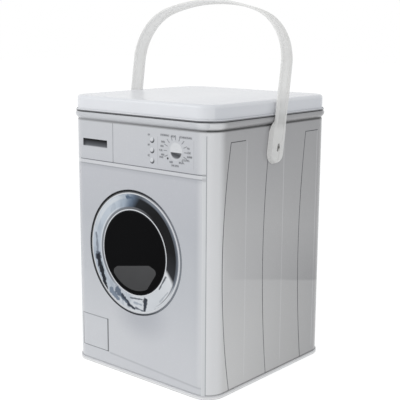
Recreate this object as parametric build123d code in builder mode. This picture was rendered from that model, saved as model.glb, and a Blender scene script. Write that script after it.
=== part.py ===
from build123d import *
import os
from math import asin, cos, degrees, radians, sin

os.makedirs("parts", exist_ok=True)

# A square tin for laundry powder with a slip-on lid and a moulded strap handle, in millimetres.
# +Z is up, the printed front faces -Y, and the origin is the middle of the base.

# Tin body
body_width = 175.0
body_depth = 177.0
corner_radius = 17.5
sheet = 0.35

# Double seam at the foot: five layers of sheet, hooked together
seam_gap = 0.04
seam_height = 3.2
seam_bevel = 0.25
hook_depth = 2.6

# Base panel, set up inside the seam
base_recess = 4.0
base_step = 1.0
base_border = 9.0

# Groove and bead rolled into the wall below the lid
groove_z = 236.8
groove_width = 2.1
groove_depth = 0.5
bead_height = 6.0
bead_depth = 2.0

# Curled and rounded edges are bent in flats, which keeps their mesh light
curl_flats = 5
edge_flats = 4

# Neck and curled rim that the lid slips over
neck_clearance = 0.3
neck_height = 11.8
rim_radius = 1.1
rim_turn = 280

# Lid
seat_gap = 0.3
lid_height = 14.5
lid_edge_radius = 3.0
lid_curl_radius = 0.65
lid_curl_turn = 255
lid_border = 12.0

# Lock seam up the back wall
lock_seam_width = 5.5
lock_seam_layers = 2
lock_seam_clear = 2.0
lock_line_width = 0.5
lock_line_depth = 0.12

# Strap handle, measured in its own plane from the axis of its two pegs
pivot_y = -1.0
pivot_z = 217.0
handle_lean = 8.5
strap_width = 16.2
strap_thickness = 2.2
strap_wall_gap = 2.9
strap_recess = 0.3
strap_border = 3.0
strap_bevel = 0.6
arch_rise = 130.8
crown_radius = 184.3
shoulder_radius = 51.4

# Pads at the ends of the strap, and the split pegs that snap into the wall
pad_radius = 8.6
pad_drop = 4.8
pad_height = 25.0
pad_slope_start = 13.0
pad_draft = 20.0
pad_wall_gap = 0.3
pad_bevel = 0.6
pad_recess_low = 9.0
pad_dish_width = 4.4
pad_dish_height = 11.0
pad_dish_depth = 0.6
pad_dish_drop = 5.5
peg_radius = 4.0
peg_clearance = 0.1
peg_lip = 0.8
peg_lip_length = 2.4
peg_grip_gap = 0.25
peg_slot_width = 3.4
peg_slot_height = 7.0

# Printed picture: every field is a skin of ink on the wall
ink = 0.1
line_width = 0.7

# Door, from the middle of the front
door_x = -3.95
door_z = 119.6
glass_radius = 39.6
glass_rim = 1.2
chrome_width = 13.9
chrome_rim = 2.2
door_edge_width = 1.7

# Water behind the glass: its round lower edge, and its upper corners as shares of the glass's radius
water_gap = 4.1
water_from_angle = 216.0
water_to_angle = 297.0
water_corners = [(0.75, -0.31), (0.47, -0.22), (-0.56, -0.41)]
water_round_share = 0.1

# Panel, drawer and flap, from the left edge of the front
panel_inset = 13.5
panel_z = 200.5
panel_band = 4.0
divider_inset = 57.6
drawer_inset = 17.7
drawer_width = 32.2
drawer_low = 213.0
drawer_height = 7.0
flap_inset = 12.0
flap_width = 35.5
flap_low = 15.75
flap_height = 32.85

# Buttons and dial, from the right edge of the front
button_inset = 67.9
button_z = 216.5
button_pitch = 9.15
button_radius = 2.6
dial_inset = 40.2
dial_z = 218.0
dial_radius = 8.0
dial_shadow_share = 0.1
dial_mark_radius = 12.0
dial_mark_length = 4.0
dial_mark_count = 12

# Stripe up the rounded corner, by its angle from the front
stripe_from_angle = 21.6
stripe_to_angle = 33.2
stripe_line_angle = 2.0

# Curves on each side: where each ends, as a share of the depth from the front, and how far it bows
side_lines = [(0.145, 10.4), (0.456, 7.4), (0.776, 7.6)]
side_line_low = 3.6
side_line_high = 227.2
side_hook_share = 0.116

# Places that follow from the sizes
hook_u = sheet + 2 * seam_gap
seam_u = 3 * sheet + 3 * seam_gap
chuck_u = -2 * sheet - seam_gap
turn_z = 2 * sheet + seam_gap
bead_top = groove_z + groove_width + bead_height
neck_u = -sheet - neck_clearance
rim_z = bead_top + neck_height
curl_z = bead_top + seat_gap + lid_curl_radius + sheet
lid_top = bead_top + seat_gap + lid_height
front_y = -body_depth / 2
side_x = body_width / 2
strap_inner_x = side_x + strap_wall_gap
strap_x = strap_inner_x + strap_thickness / 2
strap_outer_x = strap_inner_x + strap_thickness
pad_inner_x = side_x + pad_wall_gap
lock_seam_low = base_recess + base_step + lock_seam_clear
lock_seam_height = groove_z - lock_seam_clear - lock_seam_low
chrome_radius = glass_radius + glass_rim + chrome_width
door_edge_radius = chrome_radius + chrome_rim + door_edge_width

# Sheet sections are drawn where the front meets a corner, with u outwards from the wall and z up
section_plane = Plane(origin=(side_x - corner_radius, front_y, 0), x_dir=(0, -1, 0), z_dir=(-1, 0, 0))
corner_axis = Axis((side_x - corner_radius, front_y + corner_radius, 0), (0, 0, 1))


def carry_round(section):
    """Run a sheet section along half the front, a corner and half a side, then mirror it all round."""
    extrude(section, amount=side_x - corner_radius)
    revolve(section, axis=corner_axis, revolution_arc=90)
    extrude(section.rotate(corner_axis, 90), amount=front_y + corner_radius)
    mirror(about=Plane.YZ)
    mirror(about=Plane.XZ)


def bend_points(center_u, center_z, radius, start, turn, flats):
    """Bends of a round edge, from its start angle round its middle."""
    angles = [radians(start + turn * i / flats) for i in range(flats + 1)]
    return [(center_u + radius * cos(a), center_z + radius * sin(a)) for a in angles]


def sheet_outline(bends, thickness):
    """Closed outline of a bent sheet: its drawn face, then the face to the left of it on the way back."""
    spots = [Vector(*bend) for bend in bends]
    ways = [(after - spot).normalized() for spot, after in zip(spots, spots[1:])]
    lefts = [Vector(-way.Y, way.X) for way in ways]
    far_side = []
    for spot, before, after in zip(spots, lefts[:1] + lefts, lefts + lefts[-1:]):
        far_side.append(spot + (before + after) * (thickness / (1 + before.dot(after))))
    return Polyline(*spots, *reversed(far_side), close=True)


def plan_sketch(inset):
    """Rounded square of the wall's plan, brought in by the inset."""
    return RectangleRounded(body_width - 2 * inset, body_depth - 2 * inset, corner_radius - inset)


# Body wall: one sheet from the hook inside the seam up to the curled rim
with BuildSketch(section_plane) as wall_section:
    with BuildLine():
        wall_bends = [
            (hook_u, hook_depth),
            (hook_u, turn_z),
            (0, turn_z),
            (0, groove_z),
            (-groove_depth, groove_z + 0.4 * groove_width),
            (-groove_depth, groove_z + 0.8 * groove_width),
            (0.7 * bead_depth, bead_top - 0.75 * bead_height),
            (bead_depth, bead_top - 0.55 * bead_height),
            (bead_depth, bead_top - 0.25 * bead_height),
            (0.5 * bead_depth, bead_top),
            (neck_u, bead_top),
            *bend_points(neck_u - rim_radius, rim_z, rim_radius, 0, rim_turn, curl_flats),
        ]
        sheet_outline(wall_bends, sheet)
    make_face()

with BuildPart() as body_wall:
    carry_round(wall_section.sketch)
    # Lock seam: folded layers inside, and the line of the joint outside
    with BuildSketch(Plane.XY.offset(lock_seam_low)):
        with Locations((0, -front_y - sheet - lock_seam_layers * sheet / 2)):
            Rectangle(lock_seam_width, lock_seam_layers * sheet)
    extrude(amount=lock_seam_height)
    with BuildSketch(Plane.XY.offset(lock_seam_low)):
        with Locations((lock_seam_width / 2, -front_y)):
            Rectangle(lock_line_width, 2 * lock_line_depth)
    extrude(amount=lock_seam_height, mode=Mode.SUBTRACT)
    # Holes for the handle's pegs
    with BuildSketch(Plane.YZ):
        with Locations((pivot_y, pivot_z)):
            Circle(peg_radius + peg_clearance)
    extrude(amount=body_width, both=True, mode=Mode.SUBTRACT)
body_wall.part.label = "body_wall"
export_step(body_wall.part, "parts/body_wall.step")

# Bottom end: a recessed panel whose edge wraps the wall's hook
with BuildSketch(section_plane) as end_section:
    with BuildLine():
        end_bends = [
            (chuck_u - base_border - 2 * base_step, base_recess + base_step),
            (chuck_u - base_border, base_recess + base_step),
            (chuck_u - base_border + base_step, base_recess),
            (chuck_u, base_recess),
            (chuck_u, 0),
            (seam_u - seam_bevel, 0),
            (seam_u, seam_bevel),
            (seam_u, seam_height - seam_bevel),
            (seam_u - seam_bevel, seam_height),
            (seam_gap, seam_height),
            (seam_gap, turn_z + seam_gap),
        ]
        sheet_outline(end_bends, sheet)
    make_face()

with BuildPart() as bottom_end:
    carry_round(end_section.sketch)
    with BuildSketch(Plane.XY.offset(base_recess + base_step)):
        plan_sketch(-(chuck_u - base_border - 2 * base_step))
    extrude(amount=sheet)
bottom_end.part.label = "bottom_end"
export_step(bottom_end.part, "parts/bottom_end.step")

# Lid: a flat top with a rounded edge, a short skirt and an outward curl
with BuildSketch(section_plane) as lid_section:
    with BuildLine():
        lid_bends = [
            (-lid_border, lid_top),
            *bend_points(-lid_edge_radius, lid_top - lid_edge_radius, lid_edge_radius, 90, -90, edge_flats),
            *bend_points(lid_curl_radius, curl_z, lid_curl_radius, 180, lid_curl_turn, curl_flats),
        ]
        sheet_outline(lid_bends, -sheet)
    make_face()

with BuildPart() as lid:
    carry_round(lid_section.sketch)
    with BuildSketch(Plane.XY.offset(lid_top - sheet)):
        plan_sketch(lid_border)
    extrude(amount=sheet)
lid.part.label = "lid"
export_step(lid.part, "parts/lid.step")

# Handle: the strap's own plane leans back about the pegs; x across, y away from the pegs
handle_plane = Plane(
    origin=(0, pivot_y, pivot_z),
    x_dir=(1, 0, 0),
    z_dir=(0, -cos(radians(handle_lean)), sin(radians(handle_lean))),
)
shoulder_x = strap_x - shoulder_radius
crown_angle = degrees(asin(shoulder_x / (crown_radius - shoulder_radius)))
crown_v = arch_rise - crown_radius
shoulder_v = crown_v + (crown_radius - shoulder_radius) * cos(radians(crown_angle))
leg_length = shoulder_v - pad_slope_start

shoulder_axis = Axis(handle_plane.from_local_coords((shoulder_x, shoulder_v, 0)), handle_plane.z_dir)
crown_axis = Axis(handle_plane.from_local_coords((0, crown_v, 0)), handle_plane.z_dir)
leg_start = Plane(
    origin=handle_plane.from_local_coords((strap_x, pad_slope_start, 0)),
    x_dir=(1, 0, 0),
    z_dir=handle_plane.y_dir,
)
pad_face = Plane(
    origin=handle_plane.from_local_coords((strap_outer_x, 0, 0)),
    x_dir=handle_plane.z_dir,
    z_dir=(-1, 0, 0),
)

pad_length = pad_height + pad_drop - pad_radius
pad_thickness = strap_outer_x - pad_inner_x
peg_lip_x = side_x - sheet - peg_grip_gap
peg_tip_x = peg_lip_x - peg_lip_length

with BuildPart() as pad:
    # Pad: as wide as the strap at its face, spreading towards the wall, and thinned up to the strap
    with BuildSketch(pad_face):
        with Locations((0, pad_length / 2 - pad_drop)):
            SlotCenterToCenter(pad_length, 2 * pad_radius, rotation=90)
    extrude(amount=pad_thickness, taper=-pad_draft)
    chamfer(pad.faces().sort_by(Axis.X)[-1].outer_wire().edges(), length=pad_bevel)
    with BuildSketch(handle_plane):
        with BuildLine():
            Polyline(
                (pad_inner_x, pad_slope_start),
                (strap_inner_x, pad_height),
                (strap_inner_x, 2 * pad_height),
                (pad_inner_x - peg_radius, 2 * pad_height),
                (pad_inner_x - peg_radius, pad_slope_start),
                close=True,
            )
        make_face()
    extrude(amount=strap_width, both=True, mode=Mode.SUBTRACT)
    # Peg through the wall, with a snap lip inside, split into two prongs
    with BuildSketch(pad_face.offset(pad_thickness)):
        Circle(peg_radius)
    extrude(amount=pad_inner_x - peg_lip_x)
    with BuildSketch(pad_face.offset(strap_outer_x - peg_lip_x)):
        Circle(peg_radius + peg_lip)
    extrude(amount=peg_lip_length, taper=pad_draft)
    with BuildSketch(pad_face.offset(pad_thickness)):
        Rectangle(peg_slot_width, 4 * peg_radius)
    extrude(amount=pad_inner_x - peg_tip_x, mode=Mode.SUBTRACT)

# Strap: two borders stand round a shallow recess on each face
with BuildSketch(leg_start) as strap_section:
    Rectangle(strap_thickness, strap_width)
    chamfer(strap_section.vertices(), length=strap_bevel)
    with Locations((strap_thickness / 2, 0), (-strap_thickness / 2, 0)):
        Rectangle(2 * strap_recess, strap_width - 2 * strap_border, mode=Mode.SUBTRACT)
shoulder_section = strap_section.sketch.moved(Location(handle_plane.y_dir * leg_length))
crown_section = shoulder_section.rotate(shoulder_axis, 90 - crown_angle)

with BuildPart() as handle:
    extrude(strap_section.sketch, amount=leg_length)
    revolve(shoulder_section, axis=shoulder_axis, revolution_arc=90 - crown_angle)
    revolve(crown_section, axis=crown_axis, revolution_arc=crown_angle)
    add(pad.part)
    # The recess runs on into the pad, with the peg's slot and a dish below it
    with BuildSketch(pad_face):
        with Locations((0, pad_height)):
            SlotCenterToCenter(2 * (pad_height - pad_recess_low), strap_width - 2 * strap_border, rotation=90)
    extrude(amount=strap_recess, mode=Mode.SUBTRACT)
    with BuildSketch(pad_face):
        with Locations((0, -pad_dish_drop)):
            SlotOverall(pad_dish_height, pad_dish_width, rotation=90)
    extrude(amount=pad_dish_depth, mode=Mode.SUBTRACT)
    with BuildSketch(pad_face):
        SlotOverall(peg_slot_height, peg_slot_width, rotation=90)
    extrude(amount=pad_thickness, mode=Mode.SUBTRACT)
    mirror(about=Plane.YZ)
handle.part.label = "handle"
export_step(handle.part, "parts/handle.step")

# Printed picture: each field is the skin of ink that lies under its outline on the wall
with BuildPart() as ink_skin:
    with BuildSketch(Plane.XY.offset(seam_height)):
        plan_sketch(-ink)
        RectangleRounded(body_width, body_depth, corner_radius, mode=Mode.SUBTRACT)
    extrude(amount=groove_z - 2 * seam_height)

front_plane = Plane.XZ.offset(-front_y - corner_radius)
right_plane = Plane.YZ.offset(side_x - corner_radius)


def print_field(name, outline_sketch, both_sides=False):
    """Lay one field of ink on the wall under its outline, and on the far side too if asked."""
    with BuildPart() as field:
        extrude(outline_sketch, amount=corner_radius + 2 * ink)
        add(ink_skin.part, mode=Mode.INTERSECT)
        if both_sides:
            mirror(about=Plane.YZ)
    field.part.label = name
    export_step(field.part, f"parts/{name}.step")


def ring(outer, width):
    """Flat ring about the door's middle."""
    with Locations((door_x, door_z)):
        Circle(outer)
        Circle(outer - width, mode=Mode.SUBTRACT)


def corner_x(angle):
    """How far across the front a point of the rounded corner lies, by its angle from the front."""
    return side_x - corner_radius + corner_radius * sin(radians(angle))


stripe_left = corner_x(stripe_from_angle)
stripe_right = corner_x(stripe_to_angle)
stripe_line_right = corner_x(stripe_to_angle + stripe_line_angle)
stripe_height = groove_z - 2 * seam_height

left_x = -side_x
panel_left = left_x + panel_inset
divider_x = left_x + divider_inset
drawer_x = left_x + drawer_inset + drawer_width / 2
flap_x = left_x + flap_inset + flap_width / 2
button_x = side_x - button_inset
dial_x = side_x - dial_inset

with BuildSketch(front_plane) as door_edge:
    ring(door_edge_radius, door_edge_width)
print_field("door_edge_print", door_edge.sketch)

with BuildSketch(front_plane) as door_chrome:
    ring(chrome_radius, chrome_width)
print_field("door_chrome_print", door_chrome.sketch)

# The water line in the glass
water_radius = glass_radius - water_gap


def water_edge(angle):
    """Point of the water's round lower edge, by its angle about the door's middle."""
    return (door_x + water_radius * cos(radians(angle)), door_z + water_radius * sin(radians(angle)))


with BuildSketch(front_plane) as door_water:
    with BuildLine():
        ThreePointArc(
            water_edge(water_from_angle),
            water_edge((water_from_angle + water_to_angle) / 2),
            water_edge(water_to_angle),
        )
        Polyline(
            water_edge(water_to_angle),
            *[(door_x + glass_radius * x, door_z + glass_radius * z) for x, z in water_corners],
            water_edge(water_from_angle),
        )
    make_face()
    fillet(door_water.vertices(), radius=water_round_share * glass_radius)
print_field("door_water_print", door_water.sketch)

with BuildSketch(front_plane) as door_glass:
    with Locations((door_x, door_z)):
        Circle(glass_radius)
    add(door_water.sketch, mode=Mode.SUBTRACT)
print_field("door_glass_print", door_glass.sketch)

with BuildSketch(front_plane) as drawer:
    with Locations((drawer_x, drawer_low + drawer_height / 2)):
        Rectangle(drawer_width, drawer_height)
print_field("drawer_print", drawer.sketch)

panel_middle = (panel_left + stripe_left) / 2
with BuildSketch(front_plane) as panel_lines:
    with Locations((panel_middle, panel_z), (panel_middle, panel_z - panel_band)):
        Rectangle(stripe_left - panel_left, line_width)
    with Locations((divider_x, (panel_z + line_width / 2 + groove_z - seam_height) / 2)):
        Rectangle(line_width, groove_z - seam_height - panel_z - line_width / 2)
print_field("panel_line_print", panel_lines.sketch)

with BuildSketch(front_plane) as buttons:
    with Locations((button_x, button_z)):
        with GridLocations(0, button_pitch, 1, 3):
            Circle(button_radius)
print_field("button_print", buttons.sketch)

with BuildSketch(front_plane) as dial_shadow:
    with Locations((dial_x, dial_z)):
        Circle(dial_radius)
    with Locations((dial_x, dial_z + (1 - dial_shadow_share) * dial_radius)):
        Rectangle(2 * dial_radius, 2 * dial_radius, mode=Mode.SUBTRACT)
print_field("dial_shadow_print", dial_shadow.sketch)

with BuildSketch(front_plane) as dial:
    with Locations((dial_x, dial_z)):
        Circle(dial_radius)
    add(dial_shadow.sketch, mode=Mode.SUBTRACT)
print_field("dial_print", dial.sketch)

with BuildSketch(front_plane) as dial_marks:
    with Locations((dial_x, dial_z)):
        with PolarLocations(dial_mark_radius, dial_mark_count, start_angle=-45, angular_range=270):
            Rectangle(dial_mark_length, line_width)
print_field("dial_mark_print", dial_marks.sketch)

with BuildSketch(front_plane) as flap_lines:
    with Locations((flap_x, flap_low + flap_height / 2)):
        Rectangle(flap_width, flap_height)
        Rectangle(flap_width - 2 * line_width, flap_height - 2 * line_width, mode=Mode.SUBTRACT)
print_field("flap_line_print", flap_lines.sketch)

with BuildSketch(front_plane) as stripe:
    with Locations(((stripe_left + stripe_right) / 2, groove_z / 2)):
        Rectangle(stripe_right - stripe_left, stripe_height)
print_field("stripe_print", stripe.sketch)

with BuildSketch(front_plane) as stripe_line:
    with Locations(((stripe_right + stripe_line_right) / 2, groove_z / 2)):
        Rectangle(stripe_line_right - stripe_right, stripe_height)
print_field("stripe_line_print", stripe_line.sketch)

with BuildSketch(right_plane) as side_line_shapes:
    for share, bow in side_lines:
        end_y = front_y + share * body_depth
        with BuildLine():
            ThreePointArc(
                (end_y, side_line_low),
                (end_y - bow, (side_line_low + side_line_high) / 2),
                (end_y, side_line_high),
            )
            Line((end_y, side_line_high), (end_y + side_hook_share * body_depth, side_line_high))
            offset(amount=line_width, side=Side.RIGHT)
        make_face()
print_field("side_line_print", side_line_shapes.sketch, both_sides=True)
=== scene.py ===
"""Studio model of a square tin printed as a washing machine, with a slip-on lid and a milky strap."""

import logging
import math
from collections.abc import Iterable, Iterator, Mapping, Sequence
from dataclasses import dataclass, field
from enum import Enum
import bmesh
import bpy
from mathutils import Matrix, Vector


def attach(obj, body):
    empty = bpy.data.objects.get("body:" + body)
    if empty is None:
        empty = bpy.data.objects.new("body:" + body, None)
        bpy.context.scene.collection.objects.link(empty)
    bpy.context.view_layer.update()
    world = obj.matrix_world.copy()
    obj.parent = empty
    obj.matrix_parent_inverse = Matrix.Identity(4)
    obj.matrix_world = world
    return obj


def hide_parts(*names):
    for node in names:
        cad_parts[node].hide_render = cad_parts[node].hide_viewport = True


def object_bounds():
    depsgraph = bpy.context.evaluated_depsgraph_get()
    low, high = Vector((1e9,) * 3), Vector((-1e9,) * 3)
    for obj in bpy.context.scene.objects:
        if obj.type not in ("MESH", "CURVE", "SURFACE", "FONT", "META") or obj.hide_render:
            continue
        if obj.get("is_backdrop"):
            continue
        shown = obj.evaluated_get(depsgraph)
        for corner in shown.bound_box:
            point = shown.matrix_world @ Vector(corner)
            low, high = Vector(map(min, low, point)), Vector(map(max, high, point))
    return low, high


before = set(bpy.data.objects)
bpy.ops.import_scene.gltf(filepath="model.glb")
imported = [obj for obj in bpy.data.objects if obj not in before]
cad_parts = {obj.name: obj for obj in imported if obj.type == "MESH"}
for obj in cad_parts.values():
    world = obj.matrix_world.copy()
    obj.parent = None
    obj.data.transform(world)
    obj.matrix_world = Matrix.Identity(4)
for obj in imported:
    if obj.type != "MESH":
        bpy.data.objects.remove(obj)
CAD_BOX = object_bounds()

LOG = logging.getLogger("tin")
MM = 0.001

Colour = tuple[float, float, float]
Point = tuple[float, float]
Place = tuple[float, float, float]
Stops = tuple[tuple[float, Colour], ...]
Socket = bpy.types.NodeSocket
Material = bpy.types.Material
Piece = bpy.types.Object


def srgb(red: float, green: float, blue: float) -> Colour:
    """Linear colour of a screen colour whose channels run from 0 to 255.

    Args:
        red: Red channel.
        green: Green channel.
        blue: Blue channel.

    Returns:
        The three channels as linear light.
    """
    channels = [c / 255 for c in (red, green, blue)]
    return tuple(c / 12.92 if c <= 0.04045 else ((c + 0.055) / 1.055) ** 2.4 for c in channels)


class Layer(Enum):
    """How one colour is laid over another."""

    COVER = "MIX"
    DARKEN = "MULTIPLY"


class Value:
    """A number that varies over a surface. Arithmetic on it adds Math nodes to its finish."""

    def __init__(self, nodes: "Nodes", socket: Socket) -> None:
        """Wrap a socket.

        Args:
            nodes: The node tree that the socket belongs to.
            socket: The output that carries the number.
        """
        self.nodes = nodes
        self.socket = socket

    def math(self, operation: str, *others: "Value | float", swap: bool = False) -> "Value":
        """Add one Math node.

        Args:
            operation: Name of the Math operation.
            others: The further operands.
            swap: Whether the first other operand comes before this one.

        Returns:
            The result.
        """
        operands = [self, *others]
        if swap:
            operands[0], operands[1] = operands[1], operands[0]
        node = self.nodes.add("ShaderNodeMath", {"operation": operation}, dict(enumerate(operands)))
        return Value(self.nodes, node.outputs[0])

    def __add__(self, other: "Value | float") -> "Value":
        """Sum."""
        return self.math("ADD", other)

    __radd__ = __add__

    def __sub__(self, other: "Value | float") -> "Value":
        """Difference."""
        return self.math("SUBTRACT", other)

    def __rsub__(self, other: "Value | float") -> "Value":
        """Difference from a plain number."""
        return self.math("SUBTRACT", other, swap=True)

    def __mul__(self, other: "Value | float") -> "Value":
        """Product."""
        return self.math("MULTIPLY", other)

    __rmul__ = __mul__

    def __truediv__(self, other: "Value | float") -> "Value":
        """Quotient."""
        return self.math("DIVIDE", other)

    def __abs__(self) -> "Value":
        """Size without sign."""
        return self.math("ABSOLUTE")

    def __pow__(self, exponent: float) -> "Value":
        """Power."""
        return self.math("POWER", exponent)

    def either(self, other: "Value | float") -> "Value":
        """Larger of two numbers, which is where one mask or the other lies."""
        return self.math("MAXIMUM", other)

    def wrap(self, low: float, high: float) -> "Value":
        """The number brought back between two limits by whole steps."""
        return self.math("WRAP", high, low)

    def above(self, edge: float, soft: float = 0.1) -> "Value":
        """Mask of where the number lies above an edge.

        Args:
            edge: Middle of the edge.
            soft: Half the width over which the mask fades.

        Returns:
            1 above the edge and 0 below it.
        """
        sockets = {0: self, 1: edge - soft, 2: edge + soft, 3: 0.0, 4: 1.0}
        settings = {"interpolation_type": "SMOOTHSTEP", "clamp": True}
        return Value(self.nodes, self.nodes.add("ShaderNodeMapRange", settings, sockets).outputs[0])

    def below(self, edge: float, soft: float = 0.1) -> "Value":
        """Mask of where the number lies below an edge, fading over soft to each side."""
        return 1 - self.above(edge, soft)

    def between(self, low: float, high: float, soft: float = 0.1) -> "Value":
        """Mask of where the number lies between two edges, fading over soft at each."""
        return self.above(low, soft) * self.below(high, soft)

    def near(self, middle: float, reach: float) -> "Value":
        """Soft bell round a middle, which reaches nothing at the given distance."""
        return abs(self - middle).below(reach / 2, reach / 2)

    def held(self) -> "Value":
        """The number kept between 0 and 1."""
        return self.math("MINIMUM", 1.0).math("MAXIMUM", 0.0)


def length(x: Value, z: Value) -> Value:
    """Distance of a point from the middle, by its two parts."""
    return (x * x + z * z) ** 0.5


@dataclass(frozen=True)
class Coat:
    """One colour to lay on others: where it shows, its tone, its strength up to 1, and how it is laid."""

    mask: Value
    tone: Socket | Colour
    share: float = 1.0
    layer: Layer = Layer.COVER


class Nodes:
    """The node tree of one material, or of the surroundings, with short ways to fill it."""

    def __init__(self, name: str, world: bool = False) -> None:
        """Start an empty tree.

        Args:
            name: Name of the material or of the surroundings.
            world: Whether the tree is for the surroundings.
        """
        blocks = bpy.data.worlds if world else bpy.data.materials
        self.owner = blocks.new(name)
        self.owner.use_nodes = True
        self.tree = self.owner.node_tree
        self.tree.nodes.clear()

    def add(
        self,
        kind: str,
        settings: Mapping[str, object] | None = None,
        sockets: Mapping[int | str, object] | None = None,
    ) -> bpy.types.Node:
        """Add a node, give it its settings, then fill its sockets.

        Args:
            kind: Type of the node.
            settings: Properties of the node; "stops" holds a colour ramp's places and colours.
            sockets: Values, or links, for the node's inputs.

        Returns:
            The node.
        """
        node = self.tree.nodes.new(kind)
        for key, setting in (settings or {}).items():
            if key == "stops":
                self._fill_ramp(node.color_ramp, setting)
            else:
                setattr(node, key, setting)
        for key, content in (sockets or {}).items():
            target = node.inputs[key]
            if isinstance(content, Value):
                self.tree.links.new(content.socket, target)
            elif isinstance(content, Socket):
                self.tree.links.new(content, target)
            elif isinstance(content, tuple) and target.type == "RGBA":
                target.default_value = (*content, 1.0)
            else:
                target.default_value = content
        return node

    @staticmethod
    def _fill_ramp(ramp: bpy.types.ColorRamp, stops: Stops) -> None:
        """Give a colour ramp its stops.

        Args:
            ramp: The ramp.
            stops: Place and colour of each stop, in order.
        """
        while len(ramp.elements) < len(stops):
            ramp.elements.new(1.0)
        for element, (place, colour) in zip(ramp.elements, stops):
            element.position = place
            element.color = (*colour, 1.0)

    def place(self) -> tuple[Value, Value, Value]:
        """Place on the object at rest, across, back and up, in millimetres."""
        coordinates = self.add("ShaderNodeTexCoord")
        parts = self.add("ShaderNodeSeparateXYZ", None, {0: coordinates.outputs["Object"]})
        return tuple(Value(self, parts.outputs[i]) * (1 / MM) for i in range(3))

    def noise(self, scale: Place | float, detail: float = 2.0) -> Value:
        """Noise from 0 to 1 over the object.

        Args:
            scale: Waves per metre, one number or one for each axis.
            detail: How many finer layers are added.

        Returns:
            The noise.
        """
        stretch = scale if isinstance(scale, tuple) else (scale, scale, scale)
        coordinates = self.add("ShaderNodeTexCoord").outputs["Object"]
        mapping = self.add("ShaderNodeMapping", None, {"Vector": coordinates, "Scale": stretch})
        sockets = {"Vector": mapping.outputs[0], "Scale": 1.0, "Detail": detail}
        return Value(self, self.add("ShaderNodeTexNoise", None, sockets).outputs[0])

    def rough(self, middle: float, reach: float = 0.08, scale: float = 900.0) -> Value:
        """Roughness that varies finely round a middle, by the given reach from least to most."""
        return self.noise(scale, 3.0) * reach + (middle - reach / 2)

    def ramp(self, value: Value, stops: Stops) -> Socket:
        """Colour read from a ramp by a number from 0 to 1.

        Args:
            value: The number.
            stops: Place and colour of each stop, in order.

        Returns:
            The colour's socket.
        """
        return self.add("ShaderNodeValToRGB", {"stops": stops}, {0: value}).outputs[0]

    def stroke(self, start: Point, end: Point, half_width: float, soft: float = 0.75) -> Value:
        """Mask of one ragged brush stroke on the front, thinner towards its end.

        Args:
            start: Where it starts, across and up, in millimetres.
            end: Where it ends.
            half_width: Half its width at the start.
            soft: Half the width of its soft edge.

        Returns:
            The mask.
        """
        x, _, z = self.place()
        reach_x, reach_z = end[0] - start[0], end[1] - start[1]
        square = reach_x**2 + reach_z**2
        along = (((x - start[0]) * reach_x + (z - start[1]) * reach_z) / square).held()
        away = length(x - start[0] - along * reach_x, z - start[1] - along * reach_z)
        taper = 1.2 - 0.55 * along
        waver = self.noise((300.0, 1.0, 220.0), 2.0).above(0.5, 0.3) + 0.45
        return (away / (taper * waver * half_width)).below(1.0, soft / half_width)

    def lay(
        self,
        mask: Value | float,
        under: Socket | Colour,
        over: Socket | Colour,
        layer: Layer = Layer.COVER,
    ) -> Socket:
        """Lay one colour over another.

        Args:
            mask: Where the upper colour shows, from 0 to 1.
            under: The lower colour.
            over: The upper colour.
            layer: How the two are combined.

        Returns:
            The combined colour's socket.
        """
        settings = {"data_type": "RGBA", "blend_type": layer.value, "clamp_factor": True}
        return self.add("ShaderNodeMix", settings, {0: mask, 6: under, 7: over}).outputs[2]

    def coat(self, colour: Socket | Colour, coats: Iterable[Coat], within: Value | float = 1.0) -> Socket:
        """Lay coats on a colour, one after another.

        Args:
            colour: The colour below them.
            coats: The coats, the lowest first.
            within: Mask that bounds them all.

        Returns:
            The colour's socket.
        """
        for coat in coats:
            colour = self.lay(coat.mask * within * coat.share, colour, coat.tone, coat.layer)
        return colour

    def bump(self, height: Value, distance: float, strength: float = 1.0) -> Socket:
        """Surface normal of a height.

        Args:
            height: The height, where 1 stands for the distance.
            distance: Real height in metres.
            strength: Share of the effect.

        Returns:
            The normal's socket.
        """
        sockets = {"Height": height, "Distance": distance, "Strength": strength}
        return self.add("ShaderNodeBump", None, sockets).outputs[0]

    def shade(self, sockets: Mapping[str, object]) -> Material:
        """Finish the material with one surface shader.

        Args:
            sockets: Values, or links, for the shader's inputs.

        Returns:
            The material.
        """
        shader = self.add("ShaderNodeBsdfPrincipled", None, sockets)
        self.add("ShaderNodeOutputMaterial", None, {0: shader.outputs[0]})
        return self.owner

    def seen(self) -> Value:
        """Mask of light that reaches the camera straight, through something clear or off a gloss."""
        path = self.add("ShaderNodeLightPath")
        names = ("Is Camera Ray", "Is Transmission Ray", "Is Glossy Ray")
        straight, clear, gloss = (Value(self, path.outputs[name]) for name in names)
        return straight.either(clear).either(gloss)


@dataclass(frozen=True)
class Shell:
    """Sizes of the tin that its sheets and its finishes share, in millimetres."""

    half_width: float = 87.5
    half_depth: float = 88.5
    corner: float = 17.5
    groove_z: float = 236.8
    lock_seam_width: float = 5.5
    pivot_y: float = -1.0
    pivot_z: float = 217.0

    def inside(self, nodes: Nodes) -> Value:
        """Mask of the wall's inner face, below the groove."""
        x, y, z = nodes.place()
        across = (abs(x) - (self.half_width - self.corner)).math("MAXIMUM", 0.0)
        back = (abs(y) - (self.half_depth - self.corner)).math("MAXIMUM", 0.0)
        return length(across, back).below(self.corner - 0.18, 0.06) * z.below(self.groove_z - 0.8, 0.3)


SHELL = Shell()


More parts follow.
